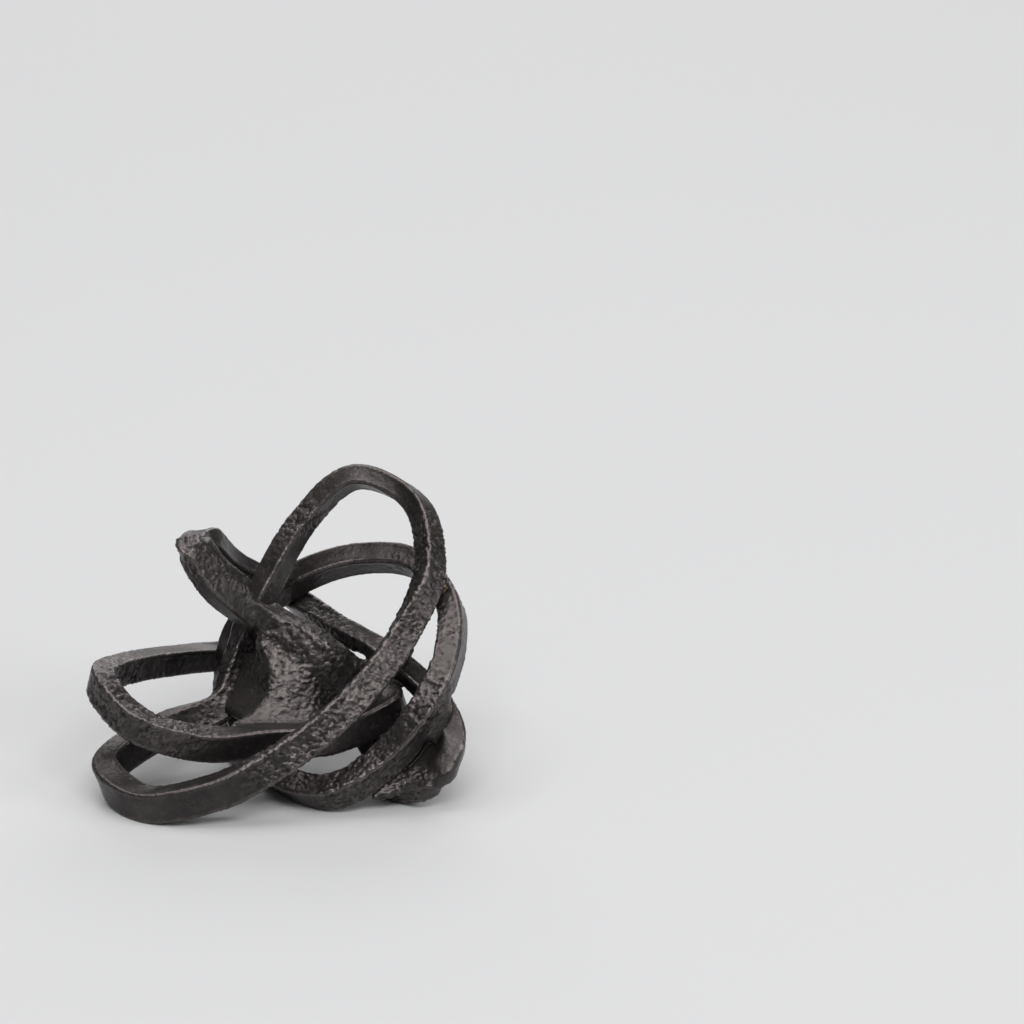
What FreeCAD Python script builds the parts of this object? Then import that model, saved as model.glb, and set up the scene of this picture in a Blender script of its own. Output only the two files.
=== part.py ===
import FreeCAD, Part
import math
import os

Vector = FreeCAD.Vector

doc = FreeCAD.newDocument("MetalKnot")

# Driving dimensions in millimetres, read from the two castings in the photograph.
sheetRows = [
    ("span", 190.0, "overall size that the paths of the bars are shares of"),
    ("barWidth", 15.0, "bar, measured along the axis of its ring"),
    ("barDepth", 12.5, "bar, measured from the inside of its ring to the outside"),
    ("edgeWear", 1.2, "flat worn on each long edge of a bar"),
    ("footWear", 1.0, "height worn flat where the casting stands"),
    ("frontWebThickness", 10.0, "wide hammered web at the front"),
    ("leftWebThickness", 8.5, "web between the left leg and the bar behind it"),
    ("footWebRadius", 3.8, "round web between the right foot and the bar in front of it"),
    ("crotchRadius", 27.0, "radius of the hollow that ends the front web at the left"),
    ("crotchDepth", 11.0, "depth of that hollow"),
    ("cornerWebThickness", 8.0, "web inside the turn of the right foot"),
    ("beadRadius", 3.4, "brass bead where two bars are brazed"),
    ("brazeGap", 0.12, "film of braze between a bar and the piece joined to it"),
]

sheet = doc.addObject("Spreadsheet::Sheet", "Knot")
for rowNumber, (alias, size, meaning) in enumerate(sheetRows, start=1):
    sheet.set(f"A{rowNumber}", meaning)
    sheet.set(f"B{rowNumber}", str(size))
    sheet.setAlias(f"B{rowNumber}", alias)
doc.recompute()


def cell(alias):
    return float(sheet.get(alias))


# Paths of the four rings. Each row is a place on the middle of the bar, as shares of the span
# (to the right, away from the front, up), then the turn of the bar about its own path in degrees
# and the bar's size there as a share of its full section.
ringShares = {
    "ring_high": (
        (-0.46, -0.38, 0.8),
        [
            (-0.150, 0.025, 0.165, -40, 1.05),
            (-0.105, 0.100, 0.270, -18, 1.00),
            (-0.035, 0.180, 0.440, 3, 0.95),
            (0.070, 0.265, 0.610, 20, 0.90),
            (0.215, 0.295, 0.730, 24, 0.85),
            (0.380, 0.220, 0.675, 18, 0.87),
            (0.410, 0.050, 0.540, 16, 0.93),
            (0.325, -0.080, 0.390, 18, 1.00),
            (0.200, -0.210, 0.275, 15, 1.05),
            (0.045, -0.290, 0.170, 15, 1.07),
            (-0.140, -0.340, 0.080, 24, 1.10),
            (-0.345, -0.320, 0.028, 32, 1.10),
            (-0.450, -0.180, 0.070, 8, 1.10),
            (-0.310, -0.050, 0.125, -25, 1.08),
        ],
    ),
    "ring_low": (
        (0, 0.04, 1),
        [
            (-0.470, -0.130, 0.295, -12, 1.00),
            (-0.370, -0.235, 0.220, 2, 1.05),
            (-0.200, -0.220, 0.160, 8, 1.05),
            (-0.015, -0.180, 0.150, -4, 1.00),
            (0.155, -0.155, 0.150, -10, 1.00),
            (0.315, -0.070, 0.208, -16, 0.97),
            (0.195, 0.090, 0.238, -30, 0.95),
            (0.015, 0.220, 0.220, -30, 0.92),
            (-0.150, 0.310, 0.195, -16, 0.88),
            (-0.295, 0.200, 0.225, -8, 0.90),
            (-0.415, 0.035, 0.270, -10, 0.95),
        ],
    ),
    "ring_slant": (
        (0.61, -0.07, 0.78),
        [
            (-0.245, 0.015, 0.665, -26, 0.93),
            (-0.160, 0.020, 0.510, -14, 0.95),
            (-0.030, 0.061, 0.398, -16, 1.00),
            (0.121, -0.004, 0.324, -20, 1.04),
            (0.205, -0.023, 0.177, -8, 0.97),
            (0.280, -0.088, 0.073, 10, 0.95),
            (0.310, -0.185, 0.020, 28, 0.95),
            (0.415, -0.250, 0.060, 36, 0.90),
            (0.470, -0.190, 0.160, 46, 0.85),
            (0.420, -0.075, 0.235, 52, 0.80),
            (0.300, 0.015, 0.315, 52, 0.77),
            (0.165, 0.180, 0.335, 48, 0.77),
            (0.025, 0.360, 0.365, 14, 0.85),
            (-0.120, 0.315, 0.480, -18, 0.90),
            (-0.215, 0.165, 0.625, -32, 0.92),
        ],
    ),
    "ring_back": (
        (-0.4, -0.54, 0.74),
        [
            (-0.130, 0.193, 0.130, -36, 1.00),
            (-0.110, 0.225, 0.280, -16, 1.00),
            (-0.025, 0.280, 0.380, 0, 1.00),
            (0.110, 0.290, 0.460, 3, 1.00),
            (0.255, 0.280, 0.500, 3, 0.97),
            (0.385, 0.210, 0.505, 0, 0.98),
            (0.465, 0.050, 0.450, -6, 1.02),
            (0.460, -0.100, 0.365, -12, 1.07),
            (0.400, -0.200, 0.260, -12, 1.10),
            (0.290, -0.245, 0.125, 0, 1.10),
            (0.140, -0.270, 0.040, 8, 1.07),
            (-0.005, -0.150, 0.035, -10, 1.03),
            (-0.105, 0.080, 0.031, -36, 1.00),
        ],
    ),
}

# Webs: for each of the two bars, its side that the sheet meets and the stretch joined, then the thickness.
webSections = 18
webRows = [
    ("web_front", ("ring_low", "deep", 0.22, 0.365), ("ring_slant", "wide", 0.135, 0.25), "frontWebThickness"),
    ("web_left", ("ring_high", "deep", 0.0, 0.09), ("ring_back", "deep", 0.01, 0.105), "leftWebThickness"),
    ("web_corner", ("ring_slant", "deep", 0.39, 0.44), ("ring_slant", "deep", 0.60, 0.54), "cornerWebThickness"),
]

# Round webs and beads of braze: the two bars and the places on them, then the radius.
beadPoints = 8
beadRows = [
    ("web_foot", "ring_slant", 0.44, "ring_back", 0.70, "footWebRadius"),
    ("bead_high_low", "ring_high", 0.62, "ring_low", 0.32, "beadRadius"),
    ("bead_high_slant", "ring_high", 0.50, "ring_slant", 0.65, "beadRadius"),
    ("bead_high_back", "ring_high", 0.44, "ring_back", 0.45, "beadRadius"),
    ("bead_slant_back", "ring_slant", 0.57, "ring_back", 0.61, "beadRadius"),
]


def blend(before, here, after, beyond, share):
    """Smooth curve between two rows of a closed table."""
    square = share * share
    cube = square * share
    return 0.5 * (
        2 * here
        + (after - before) * share
        + (2 * before - 5 * here + 4 * after - beyond) * square
        + (3 * here - before - 3 * after + beyond) * cube
    )


class Ring:
    """A closed bar of rectangular section that follows a bent and twisted loop."""

    stationsPerRow = 4

    def __init__(self, axis, rows):
        self.rows = rows
        self.axis = Vector(*axis).normalize()

    def mixed(self, share):
        count = len(self.rows)
        place = (share % 1.0) * count
        index = int(place) % count
        part = place - int(place)
        near = [self.rows[(index + step) % count] for step in (-1, 0, 1, 2)]
        return [blend(*column, part) for column in zip(*near)]

    def centre(self, share):
        return Vector(*self.mixed(share)[:3]) * cell("span")

    def frame(self, share):
        """Middle of the bar, its direction, its width direction and its outward direction."""
        small = 1.0 / (len(self.rows) * self.stationsPerRow * 8)
        middle = self.centre(share)
        along = (self.centre(share + small) - self.centre(share - small)).normalize()
        turn = math.radians(self.mixed(share)[3])
        level = (self.axis - along * self.axis.dot(along)).normalize()
        across = along.cross(level)
        wide = level * math.cos(turn) + across * math.sin(turn)
        deep = along.cross(wide)
        return middle, along, wide, deep

    def corners(self, share):
        middle, along, wide, deep = self.frame(share)
        size = self.mixed(share)[4]
        halfWide = cell("barWidth") * size / 2
        halfDeep = cell("barDepth") * size / 2
        wear = cell("edgeWear") * size
        outline = [
            (halfWide - wear, halfDeep),
            (halfWide, halfDeep - wear),
            (halfWide, wear - halfDeep),
            (halfWide - wear, -halfDeep),
            (wear - halfWide, -halfDeep),
            (-halfWide, wear - halfDeep),
            (-halfWide, halfDeep - wear),
            (wear - halfWide, halfDeep),
        ]
        return [middle + wide * w + deep * d for w, d in outline]

    def solid(self):
        count = len(self.rows) * self.stationsPerRow
        rings = [self.corners(number / count) for number in range(count)]
        knots = [float(number) for number in range(count + 1)]
        edges = []
        for line in zip(*rings):
            curve = Part.BSplineCurve()
            curve.interpolate(Points=list(line), PeriodicFlag=True, Parameters=knots)
            edges.append(curve.toShape())
        faces = [Part.makeRuledSurface(edge, edges[(n + 1) % len(edges)]) for n, edge in enumerate(edges)]
        return closedSolid(faces)


def side(ring, share, kind, sign):
    """One flat side of a bar: its middle, its outward direction and the direction across it."""
    middle, along, wide, deep = ring.frame(share)
    reach = cell("barWidth" if kind == "wide" else "barDepth") * ring.mixed(share)[4] / 2
    outward, cross = (wide, deep) if kind == "wide" else (deep, wide)
    return middle + outward * sign * (reach + cell("brazeGap")), outward * sign, cross


def signTowards(ring, share, kind, target):
    return math.copysign(1, side(ring, share, kind, 1)[1].dot(target - ring.centre(share)))


def facingKind(ring, share, target):
    middle, along, wide, deep = ring.frame(share)
    link = target - middle
    return "wide" if abs(wide.dot(link)) > abs(deep.dot(link)) else "deep"


def closedSolid(faces):
    shell = Part.makeShell(faces)
    shell.sewShape()
    solid = Part.makeSolid(shell)
    if solid.Volume < 0:
        solid.reverse()
    return solid


def sheetLines(firstRow, secondRow, thickness):
    """The four long edges of a sheet between two bars, as rows of points."""
    first, firstKind, firstStart, firstEnd = firstRow
    second, secondKind, secondStart, secondEnd = secondRow
    firstMiddle = (firstStart + firstEnd) / 2
    secondMiddle = (secondStart + secondEnd) / 2
    firstSign = signTowards(first, firstMiddle, firstKind, second.centre(secondMiddle))
    secondSign = signTowards(second, secondMiddle, secondKind, first.centre(firstMiddle))
    firstCross = side(first, firstMiddle, firstKind, firstSign)[2]
    secondCross = side(second, secondMiddle, secondKind, secondSign)[2]
    same = math.copysign(1, firstCross.dot(secondCross))
    lines = [[], [], [], []]
    for number in range(webSections + 1):
        part = number / webSections
        start, outward, cross = side(first, firstStart + (firstEnd - firstStart) * part, firstKind, firstSign)
        end, inward, other = side(second, secondStart + (secondEnd - secondStart) * part, secondKind, secondSign)
        near = cross * (thickness / 2)
        far = other * (thickness / 2 * same)
        for line, point in zip(lines, (start + near, end + far, end - far, start - near)):
            line.append(point)
    return lines


def sheetBetween(lines):
    """A sheet that fills the space between two bars and meets a side of each face to face."""
    rails = []
    for line in lines:
        curve = Part.BSplineCurve()
        curve.interpolate(Points=line, Parameters=[float(number) for number in range(len(line))])
        rails.append(curve.toShape())
    faces = [Part.makeRuledSurface(rail, rails[(n + 1) % 4]) for n, rail in enumerate(rails)]
    for place in (0, -1):
        corners = [line[place] for line in lines]
        faces.append(
            Part.makeRuledSurface(Part.makeLine(corners[0], corners[1]), Part.makeLine(corners[3], corners[2]))
        )
    return closedSolid(faces)


def plugBetween(first, firstShare, second, secondShare, radius):
    """A round bead of braze from a side of one bar to the facing side of another."""
    firstKind = facingKind(first, firstShare, second.centre(secondShare))
    secondKind = facingKind(second, secondShare, first.centre(firstShare))
    firstSign = signTowards(first, firstShare, firstKind, second.centre(secondShare))
    secondSign = signTowards(second, secondShare, secondKind, first.centre(firstShare))
    start, outward, cross = side(first, firstShare, firstKind, firstSign)
    end, inward, other = side(second, secondShare, secondKind, secondSign)
    rims = []
    for middle, normal in ((start, outward), (end, inward * -1)):
        level = (cross - normal * normal.dot(cross)).normalize()
        upright = normal.cross(level)
        outline = []
        for number in range(beadPoints):
            angle = 2 * math.pi * number / beadPoints
            outline.append(middle + level * radius * math.cos(angle) + upright * radius * math.sin(angle))
        curve = Part.BSplineCurve()
        curve.interpolate(Points=outline, PeriodicFlag=True)
        rims.append(curve.toShape())
    faces = [Part.makeRuledSurface(rims[0], rims[1])]
    for rim in rims:
        faces.append(Part.Face(Part.Wire(rim)))
    return closedSolid(faces)


def feature(name, shape):
    item = doc.addObject("Part::Feature", name)
    item.Shape = shape
    item.Placement = FreeCAD.Placement(seat, FreeCAD.Rotation())
    return item


rings = {name: Ring(axis, rows) for name, (axis, rows) in ringShares.items()}

# The casting stands over the middle of its own outline, with its lowest edge a little under the
# table top, which wears the feet flat.
edgePoints = [
    point
    for ring in rings.values()
    for number in range(len(ring.rows) * ring.stationsPerRow)
    for point in ring.corners(number / (len(ring.rows) * ring.stationsPerRow))
]
lowest = min(point.z for point in edgePoints)
middleX = (min(point.x for point in edgePoints) + max(point.x for point in edgePoints)) / 2
middleY = (min(point.y for point in edgePoints) + max(point.y for point in edgePoints)) / 2
seat = Vector(-middleX, -middleY, -lowest - cell("footWear"))

table = doc.addObject("Part::Box", "Table")
table.setExpression("Length", "Knot.span * 2")
table.setExpression("Width", "Knot.span * 2")
table.setExpression("Height", "Knot.barWidth * 2")
table.setExpression("Placement.Base.x", "-Knot.span")
table.setExpression("Placement.Base.y", "-Knot.span")
table.setExpression("Placement.Base.z", "-Knot.barWidth * 2")
doc.recompute()

parts = {}
for name, ring in rings.items():
    bar = feature(name + "_bar", ring.solid())
    worn = doc.addObject("Part::Cut", name + "_worn")
    worn.Base = bar
    worn.Tool = table
    parts[name] = worn

for name, firstRow, secondRow, thickness in webRows:
    firstRow = (rings[firstRow[0]],) + firstRow[1:]
    secondRow = (rings[secondRow[0]],) + secondRow[1:]
    lines = sheetLines(firstRow, secondRow, cell(thickness))
    parts[name] = feature(name + "_sheet", sheetBetween(lines))
    if name == "web_front":
        frontLines = lines

# The front web ends at the left in a round hollow between the two bars.
startMiddle = sum((line[0] for line in frontLines), Vector()) / 4
endMiddle = sum((line[-1] for line in frontLines), Vector()) / 4
inward = (endMiddle - startMiddle).normalize()
through = inward.cross(frontLines[1][0] - frontLines[0][0]).normalize()
hollow = doc.addObject("Part::Cylinder", "Crotch")
hollow.setExpression("Radius", "Knot.crotchRadius")
hollow.setExpression("Height", "Knot.crotchRadius * 2")
hollowBase = (
    seat
    + startMiddle
    + inward * (cell("crotchDepth") - cell("crotchRadius"))
    - through * cell("crotchRadius")
)
hollow.Placement = FreeCAD.Placement(hollowBase, FreeCAD.Rotation(Vector(0, 0, 1), through))
hollowed = doc.addObject("Part::Cut", "web_front_hollowed")
hollowed.Base = parts["web_front"]
hollowed.Tool = hollow
parts["web_front"] = hollowed

for name, first, firstShare, second, secondShare, radius in beadRows:
    solid = plugBetween(rings[first], firstShare, rings[second], secondShare, cell(radius))
    parts[name] = feature(name + "_plug", solid)

for name, part in parts.items():
    part.Label = name
doc.recompute()

for item in doc.Objects:
    if "Invalid" in item.State or "Error" in item.State:
        raise RuntimeError(f"{item.Name} failed: {item.State}")
for name, part in parts.items():
    if part.Shape.isNull() or not part.Shape.isValid() or not part.Shape.Solids:
        raise RuntimeError(f"{name} has no valid shape")

os.makedirs("parts", exist_ok=True)
for name, part in parts.items():
    shape = part.Shape
    shape.exportStep(f"parts/{name}.step")
    size = shape.BoundBox
    print(
        name,
        f"{len(shape.Solids)} solid, {shape.Volume:.0f} mm3,",
        f"x {size.XMin:.1f} {size.XMax:.1f}, y {size.YMin:.1f} {size.YMax:.1f}, z {size.ZMin:.1f} {size.ZMax:.1f}",
    )
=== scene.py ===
import math

import bpy
from mathutils import Matrix, Vector


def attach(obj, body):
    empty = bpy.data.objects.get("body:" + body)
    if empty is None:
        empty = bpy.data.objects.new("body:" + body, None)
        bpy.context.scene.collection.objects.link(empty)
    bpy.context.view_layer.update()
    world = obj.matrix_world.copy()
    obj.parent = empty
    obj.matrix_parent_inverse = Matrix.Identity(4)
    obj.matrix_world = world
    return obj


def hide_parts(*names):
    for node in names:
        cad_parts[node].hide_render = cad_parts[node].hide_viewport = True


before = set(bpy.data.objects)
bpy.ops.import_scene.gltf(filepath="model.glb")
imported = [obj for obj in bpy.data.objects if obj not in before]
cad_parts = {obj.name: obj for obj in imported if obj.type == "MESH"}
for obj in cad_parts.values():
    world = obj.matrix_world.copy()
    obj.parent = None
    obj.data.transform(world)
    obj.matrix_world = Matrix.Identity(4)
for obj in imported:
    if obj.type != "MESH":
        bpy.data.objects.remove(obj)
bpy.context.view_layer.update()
print("frame loaded", sorted(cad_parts))


def feed(tree, slot, value):  # links a socket to a node's input, or sets the input's own value
    if isinstance(value, Socket):
        tree.links.new(value.socket, slot)
    else:
        slot.default_value = value


class Socket:  # a node socket that takes part in plain arithmetic
    def __init__(self, tree, socket):
        self.tree = tree
        self.socket = socket

    def math(self, operation, *values, clamp=False):
        node = self.tree.nodes.new("ShaderNodeMath")
        node.operation = operation
        node.use_clamp = clamp
        for slot, value in zip(node.inputs, values):
            feed(self.tree, slot, value)
        return Socket(self.tree, node.outputs[0])

    def __add__(self, other):
        return self.math("ADD", self, other)

    def __radd__(self, other):
        return self.math("ADD", other, self)

    def __sub__(self, other):
        return self.math("SUBTRACT", self, other)

    def __rsub__(self, other):
        return self.math("SUBTRACT", other, self)

    def __mul__(self, other):
        return self.math("MULTIPLY", self, other)

    def __rtruediv__(self, other):
        return self.math("DIVIDE", other, self)

    def absolute(self):
        return self.math("ABSOLUTE", self)

    def clamped(self):
        return self.math("ADD", self, 0.0, clamp=True)

    def biggest(self, other):
        return self.math("MAXIMUM", self, other)


class Graph:  # adds nodes to one tree
    def __init__(self, tree):
        self.tree = tree

    def node(self, kind, settings=None, **values):  # an input is given by its name, or by i and its number
        node = self.tree.nodes.new(kind)
        for name, value in (settings or {}).items():
            setattr(node, name, value)
        for name, value in values.items():
            numbered = name[0] == "i" and name[1:].isdigit()
            feed(self.tree, node.inputs[int(name[1:]) if numbered else name], value)
        return node

    def out(self, node, name=0):
        return Socket(self.tree, node.outputs[name])

    def smooth(self, value, low, high, start=0.0, end=1.0):  # eases from start to end as the value goes low to high
        node = self.node("ShaderNodeMapRange", {"interpolation_type": "SMOOTHSTEP"})
        names = ("Value", "From Min", "From Max", "To Min", "To Max")
        for name, size in zip(names, (value, low, high, start, end)):
            feed(self.tree, node.inputs[name], size)
        return self.out(node)

    def noise(self, place, scale, detail, roughness, distortion=0.0):
        values = {"Scale": scale, "Detail": detail, "Roughness": roughness, "Distortion": distortion}
        return self.out(self.node("ShaderNodeTexNoise", None, Vector=place, **values))

    def dots(self, place, scale):  # how far a place is from the nearest of many scattered points
        node = self.node("ShaderNodeTexVoronoi", {"feature": "F1"}, Vector=place, Scale=scale, Randomness=1.0)
        return self.out(node, "Distance")

    def vector(self, operation, first, second):
        return self.out(self.node("ShaderNodeVectorMath", {"operation": operation}, i0=first, i1=second))

    def scaled(self, vector, factor):
        return self.out(self.node("ShaderNodeVectorMath", {"operation": "SCALE"}, i0=vector, Scale=factor))

    def gap(self, first, second):
        node = self.node("ShaderNodeVectorMath", {"operation": "DISTANCE"}, i0=first, i1=second)
        return self.out(node, "Value")

    def upPart(self, vector):
        return self.out(self.node("ShaderNodeSeparateXYZ", None, Vector=vector), 2)

    def blurred(self, vector, passes, weight):  # evens a vector out over the neighbouring points
        kind = {"data_type": "FLOAT_VECTOR"}
        node = self.node("GeometryNodeBlurAttribute", kind, Iterations=passes, Weight=weight)
        slots = [slot for slot in node.inputs if slot.name == "Value" and slot.enabled]
        feed(self.tree, slots[0], vector)
        return Socket(self.tree, [slot for slot in node.outputs if slot.enabled][0])

    def kept(self, geometry, name, value):  # stores a value on each point for the material
        kind = {"data_type": "FLOAT", "domain": "POINT"}
        values = {"Geometry": geometry, "Name": name, "Value": value}
        return self.out(self.node("GeometryNodeStoreNamedAttribute", kind, **values))

    def attribute(self, name):
        return self.out(self.node("ShaderNodeAttribute", {"attribute_name": name}), "Fac")

    def mixed(self, share, first, second):  # a colour between two, each a socket or three numbers
        first, second = [colour if isinstance(colour, Socket) else (*colour, 1.0) for colour in (first, second)]
        return self.out(self.node("ShaderNodeMix", {"data_type": "RGBA"}, i0=share, i6=first, i7=second), 2)

    def finished(self, geometry, finish):  # the end of a Geometry Nodes tree
        shaded = self.node("GeometryNodeSetShadeSmooth", None, i0=geometry)
        real = self.node("GeometryNodeRealizeInstances", None, Geometry=self.out(shaded))
        dressed = self.node("GeometryNodeSetMaterial", None, Geometry=self.out(real), Material=finish)
        self.node("NodeGroupOutput", None, i0=self.out(dressed))


def startTree(name, part, inputs):  # a Geometry Nodes tree with named inputs: its graph, and the inputs by name
    tree = bpy.data.node_groups.new(name, "GeometryNodeTree")
    tree.interface.new_socket(name=part, in_out="INPUT", socket_type="NodeSocketGeometry")
    for label, kind, value in inputs:
        item = tree.interface.new_socket(name=label, in_out="INPUT", socket_type="NodeSocket" + kind)
        if value is not None:
            item.default_value = value
    tree.interface.new_socket(name=part, in_out="OUTPUT", socket_type="NodeSocketGeometry")
    g = Graph(tree)
    entry = g.node("NodeGroupInput")
    return g, {slot.name: Socket(tree, slot) for slot in entry.outputs if slot.name}


def setInput(modifier, name, value):
    for item in modifier.node_group.interface.items_tree:
        if item.item_type == "SOCKET" and item.in_out == "INPUT" and item.name == name:
            modifier[item.identifier] = value


def startMaterial(name):  # a material with an empty tree, and its graph
    material = bpy.data.materials.new(name)
    material.use_nodes = True
    material.node_tree.nodes.clear()
    return material, Graph(material.node_tree)


def metalShader(g, colour, roughness, metal, bump):  # the end of a material's tree
    values = {"Base Color": colour, "Roughness": roughness, "Metallic": metal, "Normal": bump}
    shader = g.node("ShaderNodeBsdfPrincipled", None, **values)
    g.node("ShaderNodeOutputMaterial", None, Surface=g.out(shader))


def onCurve(points, share):  # a point on the smooth line through some points, a share of the way along
    place = share * (len(points) - 1)
    step = min(int(place), len(points) - 2)
    t = place - step
    before, start = Vector(points[max(step - 1, 0)]), Vector(points[step])
    end, after = Vector(points[step + 1]), Vector(points[min(step + 2, len(points) - 1)])
    return 0.5 * (
        2 * start
        + (end - before) * t
        + (2 * before - 5 * start + 4 * end - after) * t * t
        + (3 * start - before - 3 * end + after) * t * t * t
    )


def sheetMesh(near, far, thickness, across=9, along=25):
    # a sheet between two edges, each given by a few points; it starts and ends inside the bars that it joins
    grid = []
    for row in range(along):
        a, b = onCurve(near, row / (along - 1)), onCurve(far, row / (along - 1))
        grid.append([a.lerp(b, column / (across - 1)) for column in range(across)])
    vertices = []
    for side in (0.5, -0.5):
        for row in range(along):
            for column in range(across):
                down = grid[min(row + 1, along - 1)][column] - grid[max(row - 1, 0)][column]
                over = grid[row][min(column + 1, across - 1)] - grid[row][max(column - 1, 0)]
                vertices.append(grid[row][column] + down.cross(over).normalized() * thickness * side)
    count = across * along
    faces = []
    for row in range(along - 1):
        for column in range(across - 1):
            a = row * across + column
            faces.append([a, a + across, a + across + 1, a + 1])
            faces.append([count + a, count + a + 1, count + a + across + 1, count + a + across])
    rim = list(range(across))
    rim += [row * across + across - 1 for row in range(1, along)]
    rim += [(along - 1) * across + column for column in range(across - 2, -1, -1)]
    rim += [row * across for row in range(along - 2, 0, -1)]
    for first, second in zip(rim, rim[1:] + rim[:1]):
        faces.append([first, second, count + second, count + first])
    return vertices, faces


def easedShare(t):  # a share from 0 to 1 that starts and ends gently
    return t * t * (3.0 - 2.0 * t)


def eased(distance, inner, outer):  # 1 up to the inner distance, and 0 from the outer one on
    return easedShare(min(max((outer - distance) / (outer - inner), 0.0), 1.0))


def turnLine(path, samples=40, aside=0.01):
    # points along a bar's middle, each with its direction and how far the bar is turned there, in degrees
    points, turns = [place for place, turn in path], [turn for place, turn in path]
    line = []
    for sample in range(samples + 1):
        share = sample / samples
        step = min(int(share * (len(points) - 1)), len(points) - 2)
        part = easedShare(share * (len(points) - 1) - step)
        direction = onCurve(points, min(share + aside, 1.0)) - onCurve(points, max(share - aside, 0.0))
        line.append((onCurve(points, share), direction, turns[step] + (turns[step + 1] - turns[step]) * part))
    return line


def turned(place, line, reach):
    # a point of a bar, turned about the bar's middle by the amount that holds at the nearest point of the line
    best = None
    for (a, alongA, turnA), (b, alongB, turnB) in zip(line, line[1:]):
        share = min(max((place - a).dot(b - a) / (b - a).length_squared, 0.0), 1.0)
        foot = a.lerp(b, share)
        gap = (place - foot).length
        if best is None or gap < best[0]:
            best = (gap, foot, alongA.lerp(alongB, share), turnA + (turnB - turnA) * share)
    gap, foot, along, turn = best
    if gap > reach or turn == 0.0:
        return place
    return foot + Matrix.Rotation(math.radians(turn), 3, along) @ (place - foot)


def evaluatedMesh(piece):  # the mesh that an object's modifiers make
    bpy.context.view_layer.update()
    depsgraph = bpy.context.evaluated_depsgraph_get()
    return bpy.data.meshes.new_from_object(piece.evaluated_get(depsgraph))


def madePlain(piece):  # applies what the modifiers do, and leaves a plain mesh
    mesh = evaluatedMesh(piece)
    old = piece.data
    piece.modifiers.clear()
    piece.data = mesh
    bpy.data.meshes.remove(old)
    mesh.name = piece.name


def weldedCopy(node, mergeGap=0.000002):  # a node's mesh in the frame's place, with its doubled points made one
    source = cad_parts[node]
    mesh = source.data.copy()
    mesh.transform(source.matrix_world)
    part = bpy.data.objects.new(node + "Copy", mesh)
    bpy.context.collection.objects.link(part)
    weld = part.modifiers.new("weld", "WELD")
    weld.merge_threshold = mergeGap
    welded = evaluatedMesh(part)
    bpy.data.objects.remove(part)
    return welded


def mergedCopy(name, nodes, values):
    # one mesh from copies of several of the frame's nodes: webs a little swollen so that they bite, bars turned and
    # bent where the values say so, and the sheets that the castings have between their bars
    vertices, faces = [], []
    for node in nodes:
        mesh = weldedCopy(node)
        swell = values.get("webGrow", 0.0) if node in values.get("webs", ()) else 0.0
        start = len(vertices)
        lines = [(turnLine(path), reach) for bar, path, reach in values.get("turns", ()) if bar == node]
        bends = [bend[1:] for bend in values.get("bends", ()) if bend[0] == node]
        for vertex in mesh.vertices:
            place = vertex.co + vertex.normal * swell
            for line, reach in lines:
                place = turned(place, line, reach)
            for centre, inner, outer, shift in bends:
                place = place + Vector(shift) * eased((vertex.co - Vector(centre)).length, inner, outer)
            vertices.append(tuple(place))
        for face in mesh.polygons:
            faces.append([start + corner for corner in face.vertices])
        bpy.data.meshes.remove(mesh)
    for sheet in values.get("sheets", ()):
        start = len(vertices)
        sheetVertices, sheetFaces = sheetMesh(sheet["near"], sheet["far"], sheet["thickness"])
        vertices += [tuple(place) for place in sheetVertices]
        faces += [[start + corner for corner in face] for face in sheetFaces]
    whole = bpy.data.meshes.new(name)
    whole.from_pydata(vertices, [], faces)
    whole.update()
    piece = bpy.data.objects.new(name, whole)
    bpy.context.collection.objects.link(piece)
    return piece


def addSkin(piece, voxel):  # one closed skin round all that the piece is made of
    remesh = piece.modifiers.new("skin", "REMESH")
    remesh.mode = "VOXEL"
    remesh.voxel_size = voxel
    return remesh


skinLook = {  # what both castings' skins have in common; lengths are in metres and scales are per metre
    "roughLetters": "ABCDEFGH",  # one for each rough spot that a casting may have
    "smoothLetters": "AB",  # one for each spot that is worn round
    "unusedSpot": (0.0, 0.0, -1.0),
    "roughCore": 0.45,  # share of a spot's reach that is hammered in full
    "smoothCore": 0.5,
    "edgePasses": 5,
    "edgeLean": (0.00006, 0.00042),  # how far an edge stands out where its wear and painted highlight start and where they are full
    "crispFrom": (0.0005, 0.004),  # heights above the table between which the edges' sharpening sets in
    "reliefFrom": (0.0002, 0.0025),  # the same for the relief
    "seedShift": (1.0, 1.7, 0.6),
    "patchNoise": (42.0, 2.0, 0.5),  # scale, detail and roughness
    "patchRange": (0.5, 0.72),
    "leastRough": 0.06,
    "raggedNoise": (160.0, 3.0, 0.6),
    "raggedRange": (0.30, 0.55, 0.35, 1.0),  # from these two values of the noise to these two shares
    "grooves": [  # cells to a hammer cell, detail, roughness, distortion, half width and depth
        (0.75, 1.5, 0.5, 0.7, 0.10, 1.0),
        (1.35, 2.0, 0.55, 0.4, 0.12, 0.7),
    ],
    "lumpNoise": (3.0, 0.62),  # detail and roughness
    "lumpDepth": 2.4,
    "crustRise": 0.25,
    "grainNoise": (2.0, 0.6),
    "waveNoise": (2.0, 0.45),
    "pitScale": 210.0,
    "pitReach": 0.16,
    "pitDepth": 2.2,  # in grain depths
    "fleckCore": 0.7,
    "fleckRagged": (0.3, 0.7, 0.4, 1.6),  # the brass fleck's reach varies with the ragged noise
    "shownCrust": 0.32,  # how the crust and the pits show in the value that the material reads
    "shownPit": 0.3,
    "shownLevel": 0.55,
}
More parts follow.
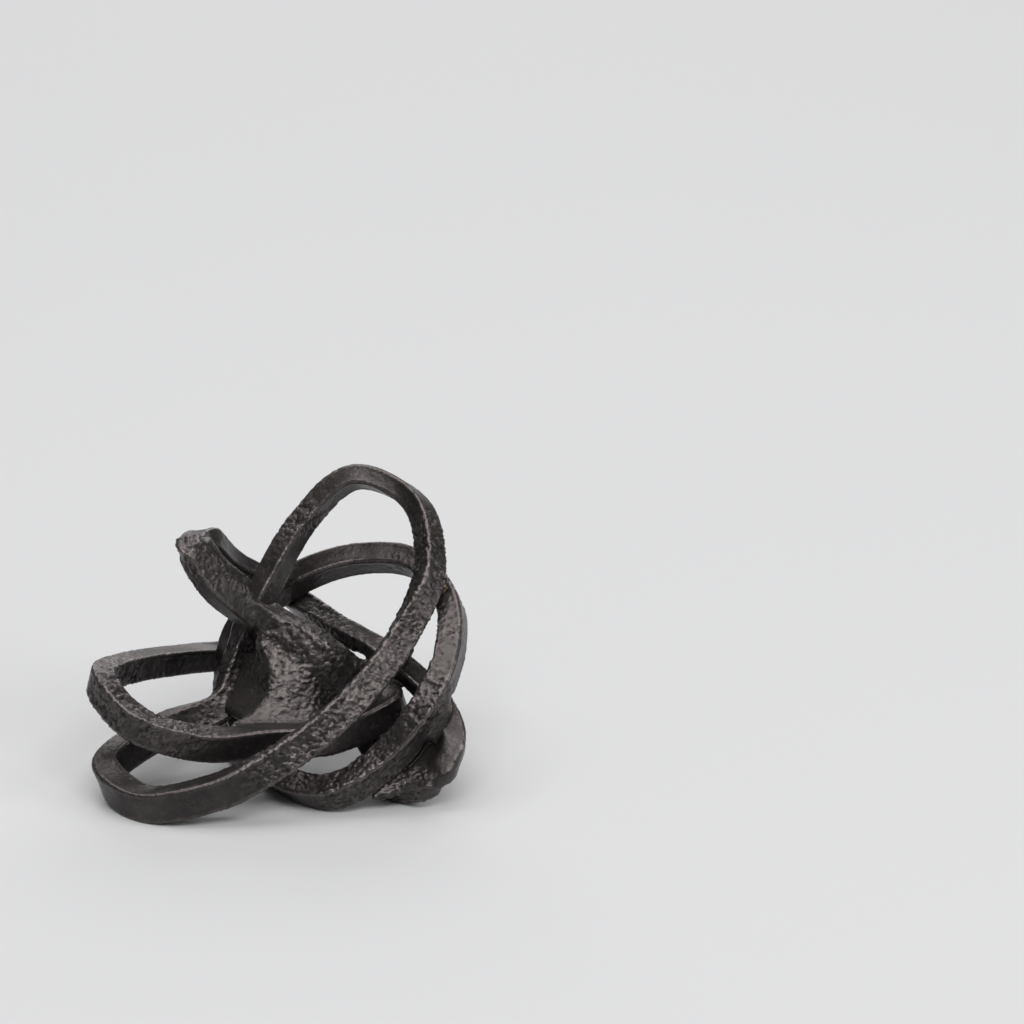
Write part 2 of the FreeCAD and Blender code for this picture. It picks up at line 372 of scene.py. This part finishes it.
skinInputs = [  # key in a casting's values, label, kind and default of each input that both castings set
    ("filletReach", "Fillet Reach", "Float", 0.006),
    ("filletPasses", "Fillet Passes", "Int", 14),
    ("hammerCell", "Hammer Cell", "Float", 0.0035),
    ("hammerDepth", "Hammer Depth", "Float", 0.0004),
    ("grainSize", "Grain Size", "Float", 0.0011),
    ("grainDepth", "Grain Depth", "Float", 0.0001),
    ("waveSize", "Wave Size", "Float", 0.015),
    ("waveDepth", "Wave Depth", "Float", 0.0003),
    ("patchiness", "Patchiness", "Float", 0.35),
    ("crispEdges", "Crisp Edges", "Float", 0.8),
    ("seed", "Seed", "Float", 0.0),
    ("fleckPlace", "Fleck Place", "Vector", None),
    ("fleckRadius", "Fleck Radius", "Float", 0.002),
]


def spotsMask(g, given, kind, letters, core, position):  # 1 in the middle of each spot, and 0 beyond its reach
    mask = None
    for letter in letters:
        reach = given[kind + " Radius " + letter]
        spot = g.smooth(g.gap(position, given[kind + " Spot " + letter]), reach * core, reach, 1.0, 0.0)
        mask = spot if mask is None else mask.biggest(spot)
    return mask


def hammeredTree(look):  # rounds the joints near the webs, then hammers, waves and pits the skin
    inputs = [("Webs", "Object", None)] + [(label, kind, value) for key, label, kind, value in skinInputs]
    for kind, letters in (("Rough", look["roughLetters"]), ("Smooth", look["smoothLetters"])):
        for letter in letters:
            inputs.append((kind + " Spot " + letter, "Vector", look["unusedSpot"]))
            inputs.append((kind + " Radius " + letter, "Float", 0.01))
    inputs.append(("Finish", "Material", None))
    g, given = startTree("hammeredSkin", "Casting", inputs)
    position = g.out(g.node("GeometryNodeInputPosition"))
    normal = g.out(g.node("GeometryNodeInputNormal"))
    aboveTable = g.upPart(position)

    # rounded joints: the skin is blurred where it is near a web or in a smooth spot
    webs = g.node("GeometryNodeObjectInfo", {"transform_space": "ORIGINAL"}, Object=given["Webs"])
    near = g.node("GeometryNodeProximity", {"target_element": "FACES"}, i0=g.out(webs, "Geometry"))
    joint = g.smooth(g.out(near, "Distance"), 0.0, given["Fillet Reach"], 1.0, 0.0)
    joint = joint.biggest(spotsMask(g, given, "Smooth", look["smoothLetters"], look["smoothCore"], position))
    blurred = g.blurred(position, given["Fillet Passes"], joint)
    rounded = g.node("GeometryNodeSetPosition", None, Geometry=given["Casting"], Position=blurred)

    # how sharply the skin turns outwards, which is where handling wears it bright and where a painted highlight
    # lightens the arrises
    lean = g.vector("SUBTRACT", position, g.blurred(position, look["edgePasses"], 1.0))
    edge = g.out(g.node("ShaderNodeVectorMath", {"operation": "DOT_PRODUCT"}, i0=lean, i1=normal), "Value")
    worn = g.kept(g.out(rounded), "edgeWear", g.smooth(edge, *look["edgeLean"]))

    # the arrises are drawn out again, because the skin's voxels round them
    crispShare = (1.0 - joint) * g.smooth(aboveTable, *look["crispFrom"])
    crisp = g.scaled(lean, given["Crisp Edges"] * crispShare)
    sharp = g.node("GeometryNodeSetPosition", None, Geometry=worn, Offset=crisp)

    # where the hammer fell: a few named spots and a loose patchwork
    shift = [given["Seed"] * size for size in look["seedShift"]]
    offset = g.node("ShaderNodeCombineXYZ", None, X=shift[0], Y=shift[1], Z=shift[2])
    place = g.vector("ADD", position, g.out(offset))
    spots = spotsMask(g, given, "Rough", look["roughLetters"], look["roughCore"], position)
    patches = g.smooth(g.noise(place, *look["patchNoise"]), *look["patchRange"]) * given["Patchiness"]
    ragged = g.noise(place, *look["raggedNoise"])
    rough = (spots + patches + look["leastRough"]).clamped()
    rough = rough * g.smooth(ragged, *look["raggedRange"])

    # the hammered crust: ragged grooves of two sizes that wind between low plates
    cell = given["Hammer Cell"]
    crust = (g.noise(place, 1.0 / cell, *look["lumpNoise"]) - 0.5) * look["lumpDepth"] + look["crustRise"]
    for scale, detail, roughness, distortion, width, depth in look["grooves"]:
        winding = g.noise(place, scale / cell, detail, roughness, distortion)
        crust = crust + g.smooth((winding - 0.5).absolute(), 0.0, width, -depth, 0.0)
    crust = crust * rough

    # the whole relief, which fades out where the casting stands on the table
    grain = g.noise(place, 1.0 / given["Grain Size"], *look["grainNoise"])
    wave = g.noise(place, 1.0 / given["Wave Size"], *look["waveNoise"])
    pit = g.smooth(g.dots(place, look["pitScale"]), 0.0, look["pitReach"], -1.0, 0.0)
    height = (
        crust * given["Hammer Depth"]
        + (grain - 0.5) * given["Grain Depth"] * 2.0
        + (wave - 0.5) * given["Wave Depth"] * 2.0
        + pit * given["Grain Depth"] * look["pitDepth"]
    )
    height = height * g.smooth(aboveTable, *look["reliefFrom"])

    shown = (crust * look["shownCrust"] + pit * look["shownPit"] + look["shownLevel"]).clamped()
    skin = g.kept(g.out(sharp), "relief", shown)
    skin = g.kept(skin, "hammered", rough)
    fleckReach = given["Fleck Radius"] * g.smooth(ragged, *look["fleckRagged"])
    toFleck = g.gap(position, given["Fleck Place"])
    skin = g.kept(skin, "brassFleck", g.smooth(toFleck, fleckReach * look["fleckCore"], fleckReach, 1.0, 0.0))
    moved = g.node("GeometryNodeSetPosition", None, Geometry=skin, Offset=g.scaled(normal, height))
    g.finished(g.out(moved), given["Finish"])
    return g.tree


def castPiece(name, values, tree, finish):
    piece = mergedCopy(name, values["nodes"], values)
    webs = mergedCopy(name + "Webs", values["webs"], {"sheets": values["sheets"]})
    addSkin(piece, values["voxel"]).use_smooth_shade = True
    hammer = piece.modifiers.new("hammer", "NODES")
    hammer.node_group = tree
    setInput(hammer, "Webs", webs)
    for key, label, kind, value in skinInputs:
        setInput(hammer, label, values[key])
    for kind, letters in (("Rough", skinLook["roughLetters"]), ("Smooth", skinLook["smoothLetters"])):
        for letter, (spot, radius) in zip(letters, values[kind.lower() + "Spots"]):
            setInput(hammer, kind + " Spot " + letter, spot)
            setInput(hammer, kind + " Radius " + letter, radius)
    setInput(hammer, "Finish", finish)
    madePlain(piece)
    bpy.data.objects.remove(webs)
    print(name, "has", len(piece.data.polygons), "faces")
    return piece


castLook = {
    "dark": (0.037, 0.0338, 0.033),
    # the lighter tone of worn metal, which also carries the painted sheen and the painted edge highlight
    "worn": (0.192, 0.166, 0.161),
    "crevice": (0.010, 0.008, 0.007),
    "brass": (0.42, 0.29, 0.13),
    "cloudNoise": (38.0, 4.0, 0.6),  # scale, detail and roughness
    "fineNoise": (1100.0, 2.0, 0.6),
    "scuffNoise": (260.0, 5.0, 0.7),
    "plateNoise": (480.0, 2.0, 0.6),
    "chipScale": 520.0,
    "chipSize": (0.10, 0.24),
    "chipFrom": (0.50, 0.60),  # chips show where the scuffs reach these values
    "cloudWear": (0.40, 0.70, 0.16),  # from where it lightens the metal, where in full, and by how much
    # painted sheen: faces that look up are made lighter, standing in for the light from above
    "paintedTopSheen": (0.25, 0.90, 0.24),
    "scuffWear": (0.48, 0.72, 0.16),
    "hammerWear": (0.32, 0.60, 0.36),
    # partly real edge wear and partly a painted highlight along the arrises
    "edgeWear": 0.55,
    "chipWear": 0.35,
    "crevices": (0.30, 0.05, 0.85),
    "roughness": 0.34,
    "roughnessSpread": 0.25,
    "creviceRoughness": 0.25,
    "edgePolish": 0.05,
    "metal": 0.78,
    "glint": 0.55,
    "glintDepth": 0.0006,
    "fineBump": 0.25,  # shares of the fine unevenness that glints
    "scuffBump": 0.45,
    "plateBump": 0.3,
    "hammerBump": 0.9,
    "chipBump": 0.25,
}


def shareOf(g, value, amounts):  # how much a value counts: from where, where in full, and by how much
    low, high, share = amounts
    return g.smooth(value, low, high) * share


def castMaterial(look):
    material, g = startMaterial("castMetal")
    coords = g.node("ShaderNodeTexCoord")
    place = g.out(coords, "Object")
    upward = g.upPart(g.out(coords, "Normal"))
    relief, edge = g.attribute("relief"), g.attribute("edgeWear")
    hammered, fleck = g.attribute("hammered"), g.attribute("brassFleck")
    fine = g.noise(place, *look["fineNoise"])
    scuff = g.noise(place, *look["scuffNoise"])
    plates = g.noise(place, *look["plateNoise"])
    chip = g.smooth(g.dots(place, look["chipScale"]), *look["chipSize"], 1.0, 0.0) * g.smooth(scuff, *look["chipFrom"])
    # lighter where the metal is worn, plus painted sheen on faces that look up and a painted highlight on edges
    wornAmount = (
        shareOf(g, g.noise(place, *look["cloudNoise"]), look["cloudWear"])
        # painted sheen: faces that look up are lightened, standing in for the light from above
        + shareOf(g, upward, look["paintedTopSheen"])
        + shareOf(g, scuff, look["scuffWear"])
        # partly real edge wear and partly a painted highlight along the arrises
        + edge * look["edgeWear"]
        + chip * look["chipWear"]
        + hammered * shareOf(g, relief, look["hammerWear"])
    ).clamped()
    creviceAmount = shareOf(g, relief, look["crevices"]).clamped()
    colour = g.mixed(wornAmount, look["dark"], look["worn"])
    colour = g.mixed(creviceAmount, colour, look["crevice"])
    colour = g.mixed(fleck, colour, look["brass"])
    roughness = (
        look["roughness"]
        + (fine - 0.5) * look["roughnessSpread"]
        + creviceAmount * look["creviceRoughness"]
        - edge * look["edgePolish"]
    ).clamped()
    height = (
        fine * look["fineBump"]
        + scuff * look["scuffBump"]
        + plates * (look["plateBump"] + hammered * look["hammerBump"])
        + chip * look["chipBump"]
    )
    bump = g.node("ShaderNodeBump", None, Strength=look["glint"], Distance=look["glintDepth"], Height=height)
    metalShader(g, colour, roughness, look["metal"], g.out(bump))
    return material


castFinish = castMaterial(castLook)
skinTree = hammeredTree(skinLook)

tallCasting = {  # the tall arch, the ring behind it and the webs between them
    "nodes": ("ring_high", "ring_back", "web_left"),
    "webs": ("web_left",),
    "voxel": 0.0009,
    "webGrow": 0.0005,
    "filletReach": 0.006,
    "filletPasses": 14,
    "hammerCell": 0.0036,
    "hammerDepth": 0.0006,
    "grainSize": 0.0012,
    "grainDepth": 0.00016,
    "waveSize": 0.016,
    "waveDepth": 0.0005,
    "patchiness": 0.55,
    "crispEdges": 1.1,
    "seed": 3.0,
    "roughSpots": [  # middle and reach of each heavily hammered patch
        ((0.060, -0.012, 0.088), 0.040),
        ((0.036, -0.040, 0.064), 0.040),
        ((0.008, -0.060, 0.042), 0.040),
        ((0.036, -0.057, 0.022), 0.032),
        ((0.072, -0.043, 0.059), 0.026),
        ((-0.022, 0.008, 0.052), 0.026),
        ((0.010, 0.046, 0.122), 0.016),
        ((0.076, 0.014, 0.116), 0.030),
    ],
    "smoothSpots": [  # middle and reach of each patch that is worn round
        ((0.084, -0.034, 0.046), 0.012),
    ],
    "fleckPlace": (0.0611, -0.0142, 0.0876),
    "fleckRadius": 0.0010,
    "turns": [  # node, points along the bar's middle with its turn in degrees, and reach: the broad face looks up
        (
            "ring_high",
            [
                ((0.0775, 0.0081, 0.1051), 0.0),
                ((0.0614, -0.0166, 0.0766), 24.0),
                ((0.0376, -0.0413, 0.0547), 28.0),
                ((0.0082, -0.0565, 0.0348), 20.0),
                ((-0.0270, -0.0660, 0.0177), 0.0),
            ],
            0.013,
        ),
    ],
    "sheets": [
        {  # the metal that runs from the back ring's right side down into the foot
            "near": [
                (0.0862, -0.034, 0.0535), (0.0831, -0.0374, 0.050),
                (0.079, -0.0405, 0.0455), (0.0735, -0.0438, 0.0375),
            ],
            "far": [
                (0.0878, -0.027, 0.0435), (0.087, -0.030, 0.040),
                (0.086, -0.034, 0.035), (0.081, -0.039, 0.0285),
            ],
            "thickness": 0.005,
        },
    ],
}
tall = castPiece("tallCasting", tallCasting, skinTree, castFinish)
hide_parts(*tallCasting["nodes"])
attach(tall, "root")
print("tall casting made")

lowCasting = {  # the lying ring, the leaning ring and the webs between them
    "nodes": ("ring_low", "ring_slant", "web_front", "web_corner", "web_foot"),
    "webs": ("web_front", "web_corner"),
    "voxel": 0.0009,
    "webGrow": 0.0005,
    "filletReach": 0.007,
    "filletPasses": 22,
    "hammerCell": 0.0038,
    "hammerDepth": 0.0005,
    "grainSize": 0.0012,
    "grainDepth": 0.00016,
    "waveSize": 0.015,
    "waveDepth": 0.0005,
    "patchiness": 0.55,
    "crispEdges": 1.1,
    "seed": 11.0,
    "roughSpots": [
        ((0.011, -0.007, 0.062), 0.038),
        ((-0.054, -0.049, 0.046), 0.028),
        ((0.062, -0.048, 0.013), 0.022),
        ((-0.040, -0.002, 0.119), 0.024),
        ((-0.085, -0.040, 0.055), 0.022),
        ((0.030, 0.005, 0.066), 0.022),
        ((-0.078, -0.008, 0.062), 0.030),
        ((0.026, 0.036, 0.069), 0.020),
    ],
    "smoothSpots": [
        ((-0.046, 0.012, 0.131), 0.020),
        ((0.070, -0.040, 0.014), 0.030),
    ],
    "fleckPlace": (-0.0143, 0.0030, 0.0790),
    "fleckRadius": 0.0010,
    "turns": [
        (
            "ring_slant",
            [
                ((-0.0469, 0.0015, 0.1288), 0.0),
                ((-0.0408, -0.0003, 0.1159), -30.0),
                ((-0.0308, 0.0024, 0.0994), -36.0),
                ((-0.0192, 0.0071, 0.0878), -28.0),
                ((-0.0061, 0.0102, 0.0781), 0.0),
            ],
            0.012,
        ),
    ],
    "bends": [  # node, middle, full within, gone beyond, shift: the leaning ring's tip and the run behind it
        ("ring_slant", (-0.047, 0.012, 0.136), 0.006, 0.034, (0.0035, -0.002, -0.0070)),
        ("ring_slant", (-0.040, 0.027, 0.129), 0.007, 0.026, (-0.0022, -0.0008, -0.0056)),
        ("ring_slant", (-0.027, 0.055, 0.092), 0.010, 0.038, (0.0, -0.0012, -0.003)),
    ],
    "sheets": [
        {  # the front web's reach up to the leaning ring's straight run
            "near": [
                (-0.005, 0.013, 0.085), (0.0022, 0.011, 0.0808), (0.0114, 0.0075, 0.0779), (0.0207, 0.002, 0.0723),
                (0.028, -0.0015, 0.066), (0.0335, -0.003, 0.0566), (0.036, -0.004, 0.048),
            ],
            "far": [
                (-0.0014, 0.015, 0.0882), (0.0053, 0.014, 0.0825), (0.013, 0.0125, 0.0781), (0.0218, 0.011, 0.0731),
                (0.0311, 0.009, 0.0667), (0.0394, 0.007, 0.0608), (0.0465, 0.005, 0.0567),
            ],
            "thickness": 0.006,
        },
        {  # the leaning ring's band is broader on its upper side
            "near": [
                (-0.039, 0.0, 0.123), (-0.0345, 0.001, 0.1165), (-0.0295, 0.002, 0.108),
                (-0.0225, 0.005, 0.099), (-0.0142, 0.009, 0.0915),
            ],
            "far": [
                (-0.0375, 0.009, 0.1261), (-0.0335, 0.010, 0.1186), (-0.0285, 0.012, 0.1108),
                (-0.0214, 0.015, 0.1036), (-0.0142, 0.018, 0.0970),
            ],
            "thickness": 0.008,
        },
        {  # the foot's broad face, from its right side to the front end of the back ring
            "near": [
                (0.0775, -0.0340, 0.0298), (0.0729, -0.0370, 0.0244), (0.0677, -0.0410, 0.0201),
                (0.0621, -0.0440, 0.0164), (0.0545, -0.0455, 0.0135), (0.0465, -0.0475, 0.0125),
            ],
            "far": [
                (0.0868, -0.0420, 0.0299), (0.0837, -0.0460, 0.0217), (0.0771, -0.0500, 0.0158),
                (0.0640, -0.0510, 0.0095), (0.0555, -0.0525, 0.0058), (0.0470, -0.0535, 0.0058),
            ],
            "thickness": 0.006,
        },
        {  # the hollow's inner wall, from the tall ring's left run to the back of the front web
            "near": [
                (-0.019, 0.019, 0.057), (-0.021, 0.015, 0.050), (-0.024, 0.010, 0.043), (-0.029, 0.002, 0.032),
            ],
            "far": [
                (-0.0055, 0.003, 0.064), (-0.005, -0.006, 0.0555), (-0.005, -0.0155, 0.046), (-0.014, -0.029, 0.0355),
            ],
            "thickness": 0.005,
        },
    ],
}
low = castPiece("lowCasting", lowCasting, skinTree, castFinish)
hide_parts(*lowCasting["nodes"])
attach(low, "root")
print("low casting made")

brazeLook = {
    "grow": 0.0004,
    "voxel": 0.0004,
    "lumpSize": 0.0022,
    "lumpDepth": 0.0005,
    "colour": (0.42, 0.30, 0.13),
    "stain": (0.045, 0.037, 0.033),
    "stainNoise": (420.0, 4.0, 0.6),
    "stainRange": (0.36, 0.46),
    "grainNoise": (1500.0, 2.0, 0.6),
    "lumpNoise": (2.0, 0.5),
    "roughness": 0.42,
    "roughnessSpread": 0.3,
    "metal": 0.85,
    "glint": 0.4,
    "glintDepth": 0.0002,
}


def brazeMaterial(look):
    material, g = startMaterial("brazeBrass")
    place = g.out(g.node("ShaderNodeTexCoord"), "Object")
    stain = g.smooth(g.noise(place, *look["stainNoise"]), *look["stainRange"])
    grain = g.noise(place, *look["grainNoise"])
    roughness = (look["roughness"] + (grain - 0.5) * look["roughnessSpread"]).clamped()
    bump = g.node("ShaderNodeBump", None, Strength=look["glint"], Distance=look["glintDepth"], Height=grain)
    metalShader(g, g.mixed(stain, look["colour"], look["stain"]), roughness, look["metal"], g.out(bump))
    return material


def brazeTree(look):  # lumps on a bead of braze
    inputs = [("Lump Size", "Float", look["lumpSize"]), ("Lump Depth", "Float", look["lumpDepth"])]
    inputs += [("Grow", "Float", look["grow"]), ("Finish", "Material", None)]
    g, given = startTree("brazeLumps", "Bead", inputs)
    position = g.out(g.node("GeometryNodeInputPosition"))
    normal = g.out(g.node("GeometryNodeInputNormal"))
    lumps = g.noise(position, 1.0 / given["Lump Size"], *look["lumpNoise"])
    height = (lumps - 0.5) * given["Lump Depth"] * 2.0 + given["Grow"]
    moved = g.node("GeometryNodeSetPosition", None, Geometry=given["Bead"], Offset=g.scaled(normal, height))
    g.finished(g.out(moved), given["Finish"])
    return g.tree


brazeFinish = brazeMaterial(brazeLook)
lumpTree = brazeTree(brazeLook)
beads = [node for node in sorted(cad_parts) if node.startswith("bead_")]
for node in beads:
    bead = mergedCopy(node.replace("bead_", "braze_"), (node,), {})
    addSkin(bead, brazeLook["voxel"])
    lumps = bead.modifiers.new("lumps", "NODES")
    lumps.node_group = lumpTree
    setInput(lumps, "Lump Size", brazeLook["lumpSize"])
    setInput(lumps, "Lump Depth", brazeLook["lumpDepth"])
    setInput(lumps, "Grow", brazeLook["grow"])
    setInput(lumps, "Finish", brazeFinish)
    madePlain(bead)
    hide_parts(node)
    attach(bead, "root")
print("braze beads made")

roomLook = {
    "floorColour": (0.74, 0.742, 0.75),
    "floorRoughness": 0.85,
    "floorGlint": 0.1,
    "floorCorners": [(-6, -4, 0), (6, -4, 0), (6, 9, 0), (-6, 9, 0)],
    "worldStrength": 0.11,
    "lamps": [  # name, place, what it is aimed at, size and power
        ("topBox", (-0.8, 0.5, 5.0), (0, 0, 0.05), (4.4, 4.0), 118.0),
        ("backBox", (0.5, 4.6, 2.6), (0, 0, 0.08), (5.2, 2.6), 90.0),
        ("frontBox", (0.5, -3.0, 4.2), (0, 0, 0.06), (4.8, 2.0), 120.0),
        ("rightBox", (4.0, -1.5, 1.9), (0, 0, 0.06), (2.6, 1.8), 44.0),
    ],
}

# pale table, which runs out of the picture on every side
floorMesh = bpy.data.meshes.new("table")
floorMesh.from_pydata(roomLook["floorCorners"], [], [(0, 1, 2, 3)])
floor = bpy.data.objects.new("table", floorMesh)
bpy.context.collection.objects.link(floor)
floorFinish = bpy.data.materials.new("paleTable")
floorFinish.use_nodes = True
floorShader = floorFinish.node_tree.nodes["Principled BSDF"]
floorShader.inputs["Base Color"].default_value = (*roomLook["floorColour"], 1.0)
floorShader.inputs["Roughness"].default_value = roomLook["floorRoughness"]
floorShader.inputs["Specular IOR Level"].default_value = roomLook["floorGlint"]
floorMesh.materials.append(floorFinish)

world = bpy.data.worlds.new("studio")
bpy.context.scene.world = world
world.use_nodes = True
world.node_tree.nodes["Background"].inputs["Color"].default_value = (1.0, 1.0, 1.0, 1.0)
world.node_tree.nodes["Background"].inputs["Strength"].default_value = roomLook["worldStrength"]

for name, place, aim, size, power in roomLook["lamps"]:
    lamp = bpy.data.lights.new(name, "AREA")
    lamp.shape = "RECTANGLE"
    lamp.size, lamp.size_y = size
    lamp.energy = power
    holder = bpy.data.objects.new(name, lamp)
    bpy.context.collection.objects.link(holder)
    holder.location = place
    holder.rotation_euler = (Vector(aim) - Vector(place)).to_track_quat("-Z", "Y").to_euler()
print("lights set")

cameraLook = {
    "target": (-0.00036, -0.00136, 0.0709),  # the point that the photograph shows at the pixel below
    "pixel": (277.0, 643.0),
    "pictureSize": 1024.0,
    "pixelsPerMetre": 1950.0,
    "elevation": 22.0,
    "distance": 1.9,
    "sensorWidth": 36.0,  # millimetres
    "farthest": 50.0,
}
camera = bpy.data.cameras.new("camera")
cameraHolder = bpy.data.objects.new("camera", camera)
bpy.context.collection.objects.link(cameraHolder)
tilt = math.radians(cameraLook["elevation"])
away = Vector((0.0, -math.cos(tilt), math.sin(tilt))) * cameraLook["distance"]
cameraHolder.location = Vector(cameraLook["target"]) + away
cameraHolder.rotation_euler = (math.pi / 2 - tilt, 0.0, 0.0)
pictureWidth = cameraLook["pictureSize"] / cameraLook["pixelsPerMetre"]  # in metres, at the target
camera.sensor_width = cameraLook["sensorWidth"]
camera.lens = camera.sensor_width * cameraLook["distance"] / pictureWidth
camera.shift_x = 0.5 - cameraLook["pixel"][0] / cameraLook["pictureSize"]
camera.shift_y = cameraLook["pixel"][1] / cameraLook["pictureSize"] - 0.5
camera.clip_end = cameraLook["farthest"]
bpy.context.scene.camera = cameraHolder
bpy.context.scene.view_settings.view_transform = "Standard"
print("camera set")
